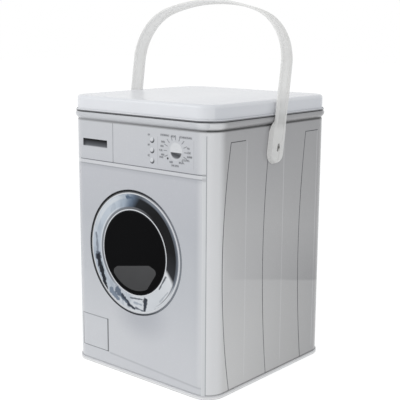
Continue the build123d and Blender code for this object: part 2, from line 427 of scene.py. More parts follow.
@dataclass(frozen=True)
class Picture:
    """Where the printed fields lie on the wall, in millimetres. They follow the skins of ink of the CAD."""

    door_x: float = -3.95
    door_z: float = 119.6
    edge_radius: float = 58.6
    chrome_inner: float = 40.8
    glass_radius: float = 39.6
    panel_z: float = 200.5
    band_z: float = 196.5
    divider_x: float = -29.9
    drawer_left: float = -69.8
    drawer_low: float = 213.0
    drawer_high: float = 220.0
    flap_right: float = -40.0
    flap_low: float = 15.75
    flap_high: float = 48.6
    button_x: float = 19.6
    button_z: float = 216.5
    button_pitch: float = 9.15
    dial_x: float = 47.3
    dial_z: float = 218.0
    dial_radius: float = 8.0

    def door(self, nodes: Nodes) -> tuple[Value, Value]:
        """Distance from the door's middle, and the angle round it from 0 at its foot, clockwise, to 1."""
        x, _, z = nodes.place()
        across = x - self.door_x
        rise = z - self.door_z
        turn = across.math("ARCTAN2", rise) / math.tau + 0.5
        return length(across, rise), turn


PICTURE = Picture()


@dataclass(frozen=True)
class PrintedWall:
    """Silver-grey lacquer of the wall, with the faint parts of the picture and painted light and shade: sides
    darker towards the top and the back, a painted reflection of the horizon on the sides, painted highlights
    by the front corners, and painted shade in the groove, under the lid and above the foot seam. Places are
    in millimetres.
    """

    front: Stops = (
        (0.0, srgb(221, 222, 225)),
        (0.16, srgb(219, 220, 223)),
        (0.4, srgb(205, 207, 211)),
        (0.62, srgb(197, 199, 204)),
        (0.8, srgb(202, 203, 208)),
        (0.86, srgb(208, 209, 213)),
        (1.0, srgb(212, 213, 216)),
    )
    # Ground of the sides, paler at the foot and darker towards the top: painted shade.
    side: Stops = (
        (0.0, srgb(232, 231, 229)),
        (0.25, srgb(226, 225, 223)),
        (0.45, srgb(218, 217, 216)),
        (0.62, srgb(209, 208, 207)),
        (0.82, srgb(193, 192, 192)),
        (1.0, srgb(180, 179, 180)),
    )
    ramp_height: float = 240.0
    corner_share: float = 0.178
    # Painted shade of the sides towards the back.
    back_shade: Colour = srgb(164, 163, 164)
    cloud: Colour = srgb(246, 247, 250)
    pale: Colour = srgb(245, 245, 246)
    # Painted shade in creases.
    crease_shade: Colour = srgb(66, 67, 70)
    dark: Colour = srgb(110, 112, 116)
    # Black of the printed dot, also painted shade in the groove.
    black_print_and_shade: Colour = srgb(24, 25, 27)
    shadow: Colour = srgb(228, 229, 232)
    metal: Colour = srgb(198, 198, 200)
    halo: Colour = srgb(236, 238, 240)
    cast: Colour = srgb(34, 35, 38)
    below_band: Colour = srgb(205, 207, 211)
    plinth: Colour = srgb(196, 197, 199)
    # Painted reflection of the horizon on the sides.
    horizon_reflection: Colour = srgb(186, 186, 190)
    roughness: float = 0.26
    bare_metallic: float = 0.8
    varnish: float = 0.25
    neck_z: float = 245.4
    foot_line_z: float = 3.7
    seam_low: float = 7.0
    seam_high: float = 234.8
    halo_radius: float = 55.4
    cast_inner: float = 55.9
    cast_outer: float = 57.2
    # Where the painted highlight down the front's right-hand edge lies.
    edge_highlight_x: float = 78.0
    shadow_x: float = 4.0
    shadow_z: float = 62.0
    plinth_z: float = 13.4
    plinth_slope: float = 0.047
    divider_low: float = 233.4
    dot_x: float = 38.2
    dot_z: float = 211.3
    frame_left: float = 26.3
    frame_right: float = 68.1
    frame_low: float = 204.5
    frame_high: float = 229.0
    uprights: tuple[float, float, float] = (-40.5, 15.0, 69.0)
    # Where the painted reflection of the horizon lies on the sides.
    horizon_reflection_z: float = 94.5
    horizon_reflection_slope: float = 0.217
    horizon_reflection_height: float = 55.0
    # Where the painted highlight on the sides by the front corner ends.
    corner_highlight_y: float = -73.0
    tick_rows: tuple[tuple[float, float, float], ...] = (
        (29.5, 40.0, 231.2),
        (42.0, 47.0, 230.9),
        (51.5, 66.0, 230.9),
        (30.4, 35.0, 225.3),
        (29.5, 33.4, 221.4),
        (28.1, 32.1, 217.8),
        (30.3, 34.4, 214.0),
        (28.3, 33.0, 211.8),
        (40.2, 44.1, 208.5),
        (42.1, 51.1, 205.7),
        (51.1, 55.6, 208.8),
        (55.0, 63.2, 211.5),
        (60.4, 66.3, 214.7),
        (61.0, 64.8, 218.2),
        (60.4, 63.5, 222.0),
        (14.2, 17.0, 230.0),
        (14.2, 17.0, 221.2),
        (14.2, 17.0, 211.8),
    )

    def material(self) -> Material:
        """Build the material."""
        nodes = Nodes("printed_wall")
        x, y, z = nodes.place()
        front = y.below(-SHELL.half_depth + self.corner_share * SHELL.corner, 0.05)
        height = z / self.ramp_height
        # Painted shade: the sides darken towards the back.
        turned = y.above(0.0, 110.0) * abs(x).above(SHELL.half_width - 8.0, 8.0)
        flank = nodes.lay(turned * 0.72, nodes.ramp(height, self.side), self.back_shade)
        colour = nodes.lay(front, flank, nodes.ramp(height, self.front))
        clouds = nodes.noise((9.0, 9.0, 6.0), 1.0).above(0.5, 0.35)
        colour = nodes.lay(clouds * 0.5, colour, self.cloud, Layer.DARKEN)
        colour = nodes.coat(colour, self._front_coats(nodes), front)
        colour = nodes.coat(colour, self._side_coats(nodes), 1 - front)
        # Painted shade in the groove below the bead, lighter on the front.
        groove = z.near(SHELL.groove_z + 0.9, 2.0) * (1 - front * (0.3 - x * 0.002))
        bare = z.above(self.neck_z, 0.2).either(SHELL.inside(nodes))
        seam = x.near(0.5 * SHELL.lock_seam_width, 0.8) * y.above(SHELL.half_depth - 0.2, 0.05)
        seam = seam * z.between(self.seam_low, self.seam_high, 0.5)
        coats = (
            # Painted shade along the sides under the lid.
            Coat(z.near(self.neck_z, 2.4) * (1 - front), self.dark, 0.45),
            Coat(groove, self.black_print_and_shade),
            # Painted shade under the lid's curl.
            Coat(z.between(self.neck_z - 0.8, self.neck_z + 0.2, 0.3), self.crease_shade, 0.85),
            # Painted shade in the crease above the foot seam, weaker on the front.
            Coat(z.near(self.foot_line_z, 0.8) * (0.6 - front * 0.35), self.crease_shade),
            Coat(bare, self.metal),
            Coat(seam, self.dark, 0.8),
        )
        swell = x.between(-4.0, 2.4, 1.0) * y.above(SHELL.half_depth - 2.0)
        swell = swell * z.between(self.seam_low, self.seam_high, 1.0)
        waves = nodes.noise((14.0, 14.0, 5.0), 1.0) * 0.3 - seam * 0.3 + swell * 0.12
        return nodes.shade(
            {
                "Base Color": nodes.coat(colour, coats),
                "Roughness": nodes.rough(self.roughness),
                "Metallic": bare * self.bare_metallic,
                "Normal": nodes.bump(waves, 0.001),
                "Specular IOR Level": 0.5,
                "Coat Weight": (1 - groove) * self.varnish,
                "Coat Roughness": 0.12,
            }
        )

    def _front_coats(self, nodes: Nodes) -> Iterator[Coat]:
        """Faint fields of the front: door rims, panel shading, small marks and the shadow below the door,
        with a painted highlight by the right-hand corner.

        Args:
            nodes: The material's nodes.

        Yields:
            The coats, the lowest first.
        """
        x, _, z = nodes.place()
        radius, turn = PICTURE.door(nodes)
        inner = radius.between(PICTURE.glass_radius + 0.3, PICTURE.chrome_inner - 0.3, 0.15)
        yield Coat((radius.near(self.halo_radius, 0.9) * 0.75).either(inner), self.halo)
        cast = radius.between(self.cast_inner, self.cast_outer, 0.3) * turn.between(0.1, 0.56, 0.06)
        yield Coat(cast, self.cast, 0.9)
        # Painted highlight down the front by its right-hand corner, fading out towards the foot.
        yield Coat(x.near(self.edge_highlight_x, 8.0) * (z / 20.0).held(), self.pale, 0.6)
        below = length((x - self.shadow_x) / 1.35, z - self.shadow_z).below(18.0, 14.0)
        yield Coat(below * radius.above(PICTURE.edge_radius, 0.3), self.shadow, 0.9, Layer.DARKEN)
        yield Coat(z.between(PICTURE.band_z + 0.6, PICTURE.panel_z - 0.6, 0.5), self.pale, 0.35)
        under = z.between(PICTURE.band_z - 4.0, PICTURE.band_z, 0.6) * z.near(PICTURE.band_z, 5.0)
        yield Coat(under, self.below_band, 0.35, Layer.DARKEN)
        plinth = (z + x * self.plinth_slope - self.plinth_z).near(0.0, 1.6) * x.between(-38.0, 78.0, 2.0)
        yield Coat(plinth, self.plinth, 0.45, Layer.DARKEN)
        shade = x.between(PICTURE.flap_right - 0.2, PICTURE.flap_right + 0.8, 0.25)
        yield Coat(shade * z.between(PICTURE.flap_low, PICTURE.flap_high, 0.5), self.dark, 0.75)
        divider = x.near(PICTURE.divider_x, 0.7) * z.between(self.divider_low, SHELL.groove_z, 0.3)
        yield Coat(divider, self.dark, 0.7)
        yield Coat(self._small_marks(nodes, x, z), self.dark, 0.95)
        yield Coat(length(x - self.dot_x, z - self.dot_z).below(1.0, 0.3), self.black_print_and_shade)

    def _small_marks(self, nodes: Nodes, x: Value, z: Value) -> Value:
        """Rows of plain ticks round the dial and above the buttons, with the dial's thin frame.

        Args:
            nodes: The material's nodes.
            x: Place across, in millimetres.
            z: Place up, in millimetres.

        Returns:
            Mask of the marks.
        """
        broken = nodes.noise((900.0, 1.0, 900.0), 0.0).above(0.42, 0.1) * 0.6 + 0.4
        frame_sides = x.near(self.frame_left, 0.5).either(x.near(self.frame_right, 0.5))
        marks = frame_sides * z.between(self.frame_low, self.frame_high, 1.0) * 0.3
        for left, right, height in self.tick_rows:
            bar = x.between(left, right, 0.15) * z.near(height, 1.6)
            marks = marks.either(bar * broken)
        return marks

    def _side_coats(self, nodes: Nodes) -> Iterator[Coat]:
        """Faint upright lines of the two sides, a painted reflection of the horizon on them, and a painted
        highlight by the front corner.

        Args:
            nodes: The material's nodes.

        Yields:
            The coats, the lowest first.
        """
        x, y, z = nodes.place()
        first, second, third = (y.near(place, 0.9) for place in self.uprights)
        lines = first.either(second).either(third) * abs(x).above(SHELL.half_width - 3.0, 0.05)
        yield Coat(lines * z.between(10.0, 226.0, 4.0), self.pale, 0.3)
        # Painted reflection of the horizon on the sides: darker above a slanting wavy line, more so towards
        # the back.
        rise = z - self.horizon_reflection_z + y * self.horizon_reflection_slope + nodes.noise((1.0, 22.0, 6.0), 2.0) * 3.0
        above = rise.above(0.0, 1.6) * (1 - rise / self.horizon_reflection_height).held() * y.above(-62.0, 12.0)
        share = ((y + 110.0) / 190.0).held() * abs(x).above(SHELL.half_width - 5.0, 4.0)
        yield Coat(above * share, self.horizon_reflection, 0.5, Layer.DARKEN)
        # Painted highlight on the sides by the front corner.
        yield Coat(y.below(self.corner_highlight_y, 5.0), self.pale, 0.86)


@dataclass(frozen=True)
class WhiteLacquer:
    """Glossy white lacquer of the lid, with painted shade on the right of its skirt and its top, and a dark
    line of painted shade along its curl. Places are in millimetres.
    """

    white: Colour = srgb(244, 245, 248)
    cloud: Colour = srgb(250, 250, 252)
    shade: Colour = srgb(238, 239, 241)
    # Painted shade along the curl, darker on the front and left, paler on the right side.
    curl_shade: Colour = srgb(84, 85, 88)
    side_curl_shade: Colour = srgb(124, 125, 128)
    curl_top_z: float = 246.5
    skirt_top_z: float = 257.0
    flat_z: float = 259.2
    roughness: float = 0.24

    def material(self) -> Material:
        """Build the material."""
        nodes = Nodes("white_lacquer")
        x, _, z = nodes.place()
        clouds = nodes.noise((12.0, 12.0, 30.0), 1.0).above(0.5, 0.4)
        right = x.above(SHELL.half_width - 3.0, 0.5)
        coats = (
            Coat(clouds, self.cloud, 0.35, Layer.DARKEN),
            # Painted shade on the right side of the skirt.
            Coat(right * z.below(self.skirt_top_z, 1.0), self.shade, 0.6, Layer.DARKEN),
            # Painted shade over the right of the top.
            Coat(x.above(50.0, 45.0) * z.above(self.flat_z), self.shade, 0.7, Layer.DARKEN),
            # Dark line of painted shade along the curl, paler on the right side.
            Coat(z.below(self.curl_top_z, 0.35), nodes.lay(right, self.curl_shade, self.side_curl_shade), 0.9),
        )
        return nodes.shade(
            {
                "Base Color": nodes.coat(self.white, coats),
                "Roughness": nodes.rough(self.roughness, 0.06, 700.0),
                "Normal": nodes.bump(nodes.noise(11.0, 1.0), 0.0008, 0.5),
                "Specular IOR Level": 0.42,
            }
        )


@dataclass(frozen=True)
class PlainTin:
    """Bare tinplate of the foot seam and the base, with fine rolling lines, a painted band of shade on the
    seam's upper half, and a dark line of painted shade along its foot. Places are in millimetres.
    """

    name: str = "plain_tin"
    tin: Colour = srgb(250, 250, 250)
    line: Colour = srgb(238, 238, 240)
    shade: Colour = srgb(206, 207, 209)
    under: Colour = srgb(132, 133, 136)
    shade_low: float = 1.7
    shade_high: float = 3.4
    foot_shade_top: float = 0.55
    roughness: float = 0.34

    def material(self) -> Material:
        """Build the material."""
        nodes = Nodes(self.name)
        _, _, z = nodes.place()
        rolled = nodes.noise((40.0, 2400.0, 900.0), 3.0)
        coats = (
            Coat(rolled.above(0.5, 0.3), self.line, 0.5, Layer.DARKEN),
            Coat(z.between(self.shade_low, self.shade_high, 0.3), self.shade, 0.7),
            # Painted shade: a dark line along the foot of the seam.
            Coat(z.below(self.foot_shade_top, 0.25), self.under, 0.8),
        )
        return nodes.shade(
            {
                "Base Color": nodes.coat(self.tin, coats),
                "Roughness": rolled * 0.16 + (self.roughness - 0.08),
                "Metallic": nodes.noise(60.0, 0.0) * 0.1 + 0.25,
                "Normal": nodes.bump(rolled, 0.00004, 0.6),
            }
        )


@dataclass(frozen=True)
class MilkyPlastic:
    """Milky plastic of the strap, clearer in its thin middle than in its borders and pads.

    Lengths are in millimetres, the lean in degrees, and a cover is the share of light that is stopped.
    """

    milk: Colour = srgb(255, 254, 252)
    cloud: Colour = srgb(247, 247, 245)
    # Painted shade in the slot at the peg.
    slot_shade: Colour = srgb(104, 102, 94)
    roughness: float = 0.42
    lean: float = 8.5
    half_recess: float = 5.1
    pad_edge: float = 19.0
    slot_half_width: float = 1.8
    slot_half_height: float = 3.7
    thin_cover: float = 0.57
    border_cover: float = 0.7
    pad_cover: float = 0.84

    def material(self) -> Material:
        """Build the material."""
        nodes = Nodes("milky_plastic")
        _, y, z = nodes.place()
        rise = z - SHELL.pivot_z
        depth = y - SHELL.pivot_y
        slope = math.radians(self.lean)
        across = abs(rise * math.sin(slope) - depth * math.cos(slope))
        along = rise * math.cos(slope) + depth * math.sin(slope)
        clouds = nodes.noise(45.0, 2.0)
        slot = length(across / self.slot_half_width, along / self.slot_half_height).below(1.0, 0.1)
        # The second coat is painted shade in the slot at the peg.
        coats = (Coat(clouds.above(0.5, 0.4), self.cloud, 0.4, Layer.DARKEN), Coat(slot, self.slot_shade, 0.8))
        border = across.above(self.half_recess, 0.3) * (self.border_cover - self.thin_cover) + self.thin_cover
        pad = along.below(self.pad_edge, 5.0)
        return nodes.shade(
            {
                "Base Color": nodes.coat(self.milk, coats),
                "Roughness": nodes.rough(self.roughness, 0.1, 500.0),
                "Alpha": border * (1 - pad) + pad * self.pad_cover + (clouds - 0.5) * 0.08,
                "Normal": nodes.bump(nodes.noise(260.0, 2.0), 0.00002, 0.3),
                "Specular IOR Level": 0.25,
            }
        )


@dataclass(frozen=True)
class GlossInk:
    """Printed ink with the lacquer's gloss. Each field below colours its own print."""

    roughness: float = 0.24
    gloss: float = 0.3

    def material(self, nodes: Nodes, colour: Socket) -> Material:
        """Finish one field of ink.

        Args:
            nodes: The material's nodes.
            colour: The field's colour.

        Returns:
            The material.
        """
        roughness = nodes.rough(self.roughness)
        return nodes.shade({"Base Color": colour, "Roughness": roughness, "Specular IOR Level": self.gloss})


@dataclass(frozen=True)
class DoorInks:
    """Inks of the round door: dark edge, chrome ring, black glass and the water behind it.

    Radii are from the door's middle and in millimetres; ramps run round the door from its foot, clockwise.
    """

    ink: GlossInk = GlossInk(gloss=0.08)
    glass_ink: GlossInk = GlossInk(gloss=0.01)
    silver: Colour = srgb(206, 213, 222)
    steel: Colour = srgb(122, 138, 156)
    coal: Colour = srgb(44, 46, 51)
    shine: Colour = srgb(138, 145, 156)
    lip: Colour = srgb(116, 117, 120)
    gleam: Colour = srgb(232, 235, 238)
    sweep_radius: float = 47.0
    shine_radius: float = 52.2
    rim_radius: float = 53.0
    lip_radius: float = 42.9
    gleam_band: Point = (43.2, 44.4)
    outer_gleam_band: Point = (50.6, 54.2)
    water_z: float = 110.0
    water_depth: float = 26.0
    edge_ramp: Stops = (
        (0.0, srgb(62, 64, 68)),
        (0.2, srgb(40, 42, 45)),
        (0.42, srgb(18, 19, 21)),
        (0.53, srgb(40, 42, 46)),
        (0.64, srgb(88, 91, 97)),
        (0.8, srgb(104, 108, 115)),
        (0.93, srgb(80, 83, 88)),
        (1.0, srgb(62, 64, 68)),
    )
    chrome_ramp: Stops = (
        (0.0, srgb(226, 229, 233)),
        (0.08, srgb(206, 211, 218)),
        (0.16, srgb(190, 198, 208)),
        (0.27, srgb(198, 207, 217)),
        (0.41, srgb(206, 214, 223)),
        (0.466, srgb(170, 182, 196)),
        (0.494, srgb(102, 116, 134)),
        (0.523, srgb(34, 36, 40)),
        (0.6, srgb(20, 21, 23)),
        (0.73, srgb(24, 25, 27)),
        (0.803, srgb(50, 52, 56)),
        (0.815, srgb(232, 234, 237)),
        (0.9, srgb(222, 225, 229)),
        (1.0, srgb(226, 229, 233)),
    )
    flecks: tuple[tuple[Point, Point, float, Colour], ...] = (
        ((-51.2, 104.0), (-54.0, 131.0), 1.6, srgb(140, 148, 159)),
        ((-52.0, 110.0), (-43.0, 83.0), 2.8, srgb(96, 104, 116)),
        ((-51.6, 109.0), (-47.6, 95.0), 2.1, srgb(38, 42, 49)),
        ((-48.2, 98.0), (-40.6, 78.5), 2.6, srgb(38, 42, 49)),
        ((-34.0, 78.0), (-25.0, 72.0), 3.0, srgb(132, 143, 158)),
        ((-26.0, 80.0), (-15.0, 71.5), 3.4, srgb(108, 119, 134)),
        ((-20.0, 76.5), (-13.0, 72.0), 1.6, srgb(66, 73, 84)),
        ((-12.0, 69.5), (-4.0, 66.6), 1.5, srgb(58, 64, 74)),
        ((-9.0, 76.0), (6.0, 77.4), 0.8, srgb(92, 98, 108)),
        ((-4.0, 72.5), (5.0, 72.0), 1.0, srgb(176, 184, 194)),
        ((9.9, 77.5), (8.9, 67.0), 2.2, srgb(62, 67, 76)),
        ((-2.0, 67.6), (7.0, 66.6), 0.9, srgb(104, 110, 120)),
        ((35.5, 104.0), (27.5, 91.5), 0.9, srgb(96, 100, 106)),
        ((-12.5, 171.0), (-3.0, 170.5), 1.4, srgb(98, 114, 134)),
        ((22.0, 70.5), (33.0, 77.5), 0.8, srgb(184, 188, 195)),
        ((28.0, 79.5), (38.0, 90.5), 0.7, srgb(190, 194, 200)),
    )

    def edge(self) -> Material:
        """Dark outer edge, softer and paler down its right side."""
        nodes = Nodes("door_edge")
        radius, turn = PICTURE.door(nodes)
        rim = radius.near(PICTURE.edge_radius - 0.75, 0.7) * turn.between(0.6, 0.92, 0.05)
        return self.ink.material(nodes, nodes.lay(rim * 0.4, nodes.ramp(turn, self.edge_ramp), self.silver))

    def chrome(self) -> Material:
        """Ring drawn as polished chrome: broad light and dark sweeps, with broken flecks at the foot."""
        nodes = Nodes("door_chrome")
        radius, turn = PICTURE.door(nodes)
        waver = nodes.noise((60.0, 1.0, 60.0), 1.0) * 0.012
        sweep = turn - (radius - self.sweep_radius) * 0.0022 + waver
        streaks = nodes.noise((130.0, 1.0, 55.0), 2.0).above(0.55, 0.06) * turn.below(0.5, 0.02)
        gleam = radius.between(*self.gleam_band, 0.4) * turn.between(0.14, 0.42, 0.05)
        outer = radius.between(*self.outer_gleam_band, 0.9) * turn.between(0.3, 0.46, 0.04)
        coats = (
            Coat(streaks, self.steel, 0.22),
            Coat(radius.above(self.shine_radius, 1.0) * turn.between(0.53, 0.84, 0.03), self.shine, 0.8),
            Coat(radius.near(self.rim_radius, 0.8) * turn.between(0.62, 0.9, 0.03), self.coal, 0.6),
            Coat(radius.below(self.lip_radius, 0.5) * turn.between(0.1, 0.56, 0.05), self.lip, 0.8),
            Coat((gleam * 0.7).either(outer * 0.6), self.gleam),
        )
        colour = nodes.coat(nodes.ramp(sweep, self.chrome_ramp), coats)
        strokes = (Coat(nodes.stroke(start, end, half), tone) for start, end, half, tone in self.flecks)
        return self.ink.material(nodes, nodes.coat(colour, strokes))

    def glass(self) -> Material:
        """Nearly black glass, a touch paler to the lower left."""
        nodes = Nodes("door_glass")
        x, _, z = nodes.place()
        radius, _ = PICTURE.door(nodes)
        fade = ((x - z) * 0.006 + 0.9).above(0.5, 0.6)
        colour = nodes.lay(fade * 0.6, srgb(19, 19, 20), srgb(11, 11, 12))
        rim = radius.above(PICTURE.glass_radius - 0.8, 0.5)
        return self.glass_ink.material(nodes, nodes.lay(rim * 0.4, colour, srgb(70, 72, 76)))

    def water(self) -> Material:
        """Grey water line, darker towards its foot."""
        nodes = Nodes("door_water")
        _, _, z = nodes.place()
        depth = ((self.water_z - z) / self.water_depth).above(0.5, 0.5)
        colour = nodes.lay(depth, srgb(76, 76, 77), srgb(68, 68, 69))
        return self.ink.material(nodes, nodes.lay(nodes.noise(60.0, 1.0) * 0.3, colour, srgb(84, 84, 85)))


@dataclass(frozen=True)
class PanelInks:
    """Inks of the control panel, the flap and the lines on the wall. Places are in millimetres."""

    ink: GlossInk = GlossInk()
    drawer_ink: GlossInk = GlossInk(gloss=0.08)
    light: Colour = srgb(234, 235, 236)
    bowl_x: float = 48.0
    bowl_z: float = 217.6
    bowl_half_width: float = 6.2
    bowl_half_height: float = 5.8
    drawer_ramp: Stops = (
        (0.0, srgb(12, 12, 13)),
        (0.2, srgb(34, 35, 37)),
        (0.6, srgb(84, 86, 90)),
        (0.86, srgb(106, 108, 112)),
        (1.0, srgb(180, 182, 186)),
    )
    bowl_ramp: Stops = (
        (0.0, srgb(106, 108, 112)),
        (0.22, srgb(62, 64, 68)),
        (0.5, srgb(98, 100, 104)),
        (0.8, srgb(172, 174, 178)),
        (1.0, srgb(206, 208, 211)),
    )

    def drawer(self) -> Material:
        """Drawer grip: black under its upper edge, fading to grey below."""
        nodes = Nodes("drawer")
        x, _, z = nodes.place()
        fall = (PICTURE.drawer_high - z) / (PICTURE.drawer_high - PICTURE.drawer_low)
        left = x.below(PICTURE.drawer_left + 3.0, 3.0)
        colour = nodes.lay(left * 0.6, nodes.ramp(fall, self.drawer_ramp), srgb(30, 31, 33))
        return self.drawer_ink.material(nodes, colour)

    def buttons(self) -> Material:
        """Pale domes, each with a dark crescent below."""
        nodes = Nodes("buttons")
        x, _, z = nodes.place()
        half = PICTURE.button_pitch / 2
        rise = (z - PICTURE.button_z).wrap(-half, half)
        away = length(x - (PICTURE.button_x - 0.8), rise - 1.2)
        colour = nodes.lay(away.above(2.5, 0.7), srgb(226, 227, 230), srgb(84, 86, 90))
        return self.ink.material(nodes, colour)

    def dial(self) -> Material:
        """Pale knob, shaded softly towards its rim."""
        nodes = Nodes("dial")
        x, _, z = nodes.place()
        away = length(x - PICTURE.dial_x - 1.0, z - PICTURE.dial_z - 1.0)
        colour = nodes.lay(away.above(7.4, 1.6) * 0.6, srgb(228, 229, 231), srgb(190, 193, 197))
        return self.ink.material(nodes, colour)

    def dial_shadow(self) -> Material:
        """Lower half of the knob: a dark bowl under its grip, paler at its foot."""
        nodes = Nodes("dial_shadow")
        x, _, z = nodes.place()
        fall = (PICTURE.dial_z - 0.6 - z - (x - PICTURE.dial_x) * 0.2) / PICTURE.dial_radius
        across = (x - self.bowl_x) / self.bowl_half_width
        bowl = length(across, (z - self.bowl_z) / self.bowl_half_height).below(1.0, 0.12)
        colour = nodes.lay(bowl, srgb(214, 215, 218), nodes.ramp(fall, self.bowl_ramp))
        return self.ink.material(nodes, colour)

    @staticmethod
    def _weak(nodes: Nodes) -> Value:
        """Mask of the stretches where a printed line is weak."""
        return nodes.noise(18.0, 1.0).above(0.5, 0.25)

    def panel_lines(self) -> Material:
        """Lines of the panel: the upper one sharp, the lower one and the upright one faint."""
        nodes = Nodes("panel_lines")
        x, _, z = nodes.place()
        colour = nodes.lay(self._weak(nodes) * 0.5, srgb(124, 126, 130), srgb(152, 154, 158))
        upright = z.above(PICTURE.panel_z + 1.5, 0.5) * x.below(-20.0, 0.5)
        faint = z.below(PICTURE.band_z + 1.5, 0.5).either(upright)
        return self.ink.material(nodes, nodes.lay(faint * 0.75, colour, srgb(182, 184, 188)))

    def flap_lines(self) -> Material:
        """Outline of the flap, heavy on its right side where the picture shows its shade."""
        nodes = Nodes("flap_lines")
        x, _, _ = nodes.place()
        colour = nodes.lay(self._weak(nodes) * 0.6, srgb(142, 144, 148), srgb(166, 168, 172))
        heavy = x.above(PICTURE.flap_right - 1.2, 0.2)
        return self.ink.material(nodes, nodes.lay(heavy * 0.9, colour, srgb(84, 86, 90)))

    def line(self, name: str, tone: Colour, far: Colour) -> Material:
        """Thin printed line whose strength wavers slowly along it.

        Args:
            name: Name of the material.
            tone: Colour where it is strong.
            far: Colour where it is weak.

        Returns:
            The material.
        """
        nodes = Nodes(name)
        return self.ink.material(nodes, nodes.lay(self._weak(nodes), tone, far))

    def stripe(self) -> Material:
        """Pale upright stripe beside the corner line, crossed by the panel's two lines."""
        nodes = Nodes("corner_stripe")
        _, _, z = nodes.place()
        coats = (
            Coat(nodes.noise((20.0, 20.0, 8.0), 1.0), srgb(226, 227, 229), 0.4),
            Coat(z.near(PICTURE.panel_z, 1.4), srgb(120, 122, 126), 0.6),
            Coat(z.near(PICTURE.band_z, 2.6), srgb(150, 152, 156), 0.4),
        )
        return self.ink.material(nodes, nodes.coat(self.light, coats))


@dataclass(frozen=True)
class Bend:
    """A corner of a sheet's section: out from the wall, up, and its rolled radius, in millimetres."""

    out: float
    up: float
    radius: float = 0.0


class Section:
    """Line of a sheet's section, drawn point by point with rolled corners, then given its thickness.

    A turn under STRAIGHT, in radians, gets no arc. MITRE bounds how far the other face runs out at a corner.
    """

    STRAIGHT = 0.01
    MITRE = 0.4

    def __init__(self, step: float = 12.0) -> None:
        """Start an empty line.

        Args:
            step: Largest angle between two points of an arc, in degrees.
        """
        self.step = math.radians(step)
        self.points: list[Vector] = []

    def rolled(self, bends: Sequence[Bend]) -> "Section":
        """Add a run of straight stretches with rolled corners.

        Args:
            bends: Its corners in order, ends included.

        Returns:
            This section.
        """
        spots = [Vector((bend.out, bend.up)) for bend in bends]
        self.points.append(spots[0])
        for before, spot, after, bend in zip(spots, spots[1:], spots[2:], bends[1:]):
            self._corner(before, spot, after, bend.radius)
        self.points.append(spots[-1])
        return self

    def _corner(self, before: Vector, spot: Vector, after: Vector, radius: float) -> None:
        """Add one corner, rounded to its radius.

        Args:
            before: The corner before it.
            spot: The corner itself.
            after: The corner after it.
            radius: Its radius.
        """
        inward = (before - spot).normalized()
        onward = (after - spot).normalized()
        turn = math.pi - inward.angle(onward)
        if radius <= 0 or turn < self.STRAIGHT:
            self.points.append(spot)
            return
        reach = radius * math.tan(turn / 2)
        middle = spot + (inward + onward).normalized() * (radius / math.cos(turn / 2))
        start = spot + inward * reach - middle
        end = spot + onward * reach - middle
        sign = 1 if start.x * end.y - start.y * end.x > 0 else -1
        count = max(2, math.ceil(turn / self.step))
        for index in range(count + 1):
            self.points.append(middle + Matrix.Rotation(sign * turn * index / count, 2) @ start)

    def curled(self, middle: Vector, radius: float, start: float, turn: float) -> "Section":
        """Add an arc.

        Args:
            middle: Its middle.
            radius: Its radius.
            start: Angle of its first point, in degrees.
            turn: Angle that it turns through, in degrees.

        Returns:
            This section.
        """
        count = math.ceil(math.radians(abs(turn)) / self.step)
        for index in range(1, count + 1):
            angle = math.radians(start + turn * index / count)
            self.points.append(middle + radius * Vector((math.cos(angle), math.sin(angle))))
        return self

    def thick(self, sheet: float) -> list[Vector]:
        """Outline of the sheet along the line.

        Args:
            sheet: Its thickness, to the left of the line, or to the right if negative.

        Returns:
            The line itself, then its other face on the way back.
        """
        points = self.points
        ways_along = [(after - before).normalized() for before, after in zip(points, points[1:])]
        other = []
        for index, point in enumerate(points):
            ways = ways_along[max(index - 1, 0) : index + 1]
            normal = sum((Vector((-way.y, way.x)) for way in ways), Vector((0, 0))).normalized()
            lean = normal.dot(Vector((-ways[0].y, ways[0].x)))
            other.append(point + normal * (sheet / max(lean, self.MITRE)))
        return points + other[::-1]


@dataclass
class Plan:
    """Rounded square that the tin's sheets follow, in millimetres."""

    half_width: float = SHELL.half_width
    half_depth: float = SHELL.half_depth
    corner: float = SHELL.corner
    steps: int = 24

    def stations(self) -> list[tuple[Vector, Vector]]:
        """Corner middles and ways out from them, once round the plan.

        Returns:
            A middle and a unit vector for each station.
        """
        across = self.half_width - self.corner
        back = self.half_depth - self.corner
        middles = ((across, back), (-across, back), (-across, -back), (across, -back))
        found = []
        for quarter, middle in enumerate(middles):
            for index in range(self.steps + 1):
                angle = math.radians(90 * (quarter + index / self.steps))
                found.append((Vector(middle), Vector((math.cos(angle), math.sin(angle)))))
        return found

    def carry(self, name: str, outline: Sequence[Vector], capped: bool = False) -> Piece:
        """Run an outline round the plan.

        Args:
            name: Name of the piece.
            outline: Points of the sheet's outline, out from the wall and up.
            capped: Whether the outline's first and last points each end in a flat plate.

        Returns:
            The piece.
        """
        shape = bmesh.new()
        rings = []
        for middle, way in self.stations():
            ring = []
            for point in outline:
                spot = middle + way * (self.corner + point.x)
                ring.append(shape.verts.new(Vector((spot.x, spot.y, point.y)) * MM))
            rings.append(ring)
        spans = len(outline) - 1 if capped else len(outline)
        for ring, following in zip(rings, rings[1:] + rings[:1]):
            for index in range(spans):
                ahead = (index + 1) % len(outline)
                shape.faces.new((ring[index], following[index], following[ahead], ring[ahead]))
        if capped:
            shape.faces.new([ring[0] for ring in rings])
            shape.faces.new([ring[-1] for ring in rings])
        return Shop.piece(name, shape)


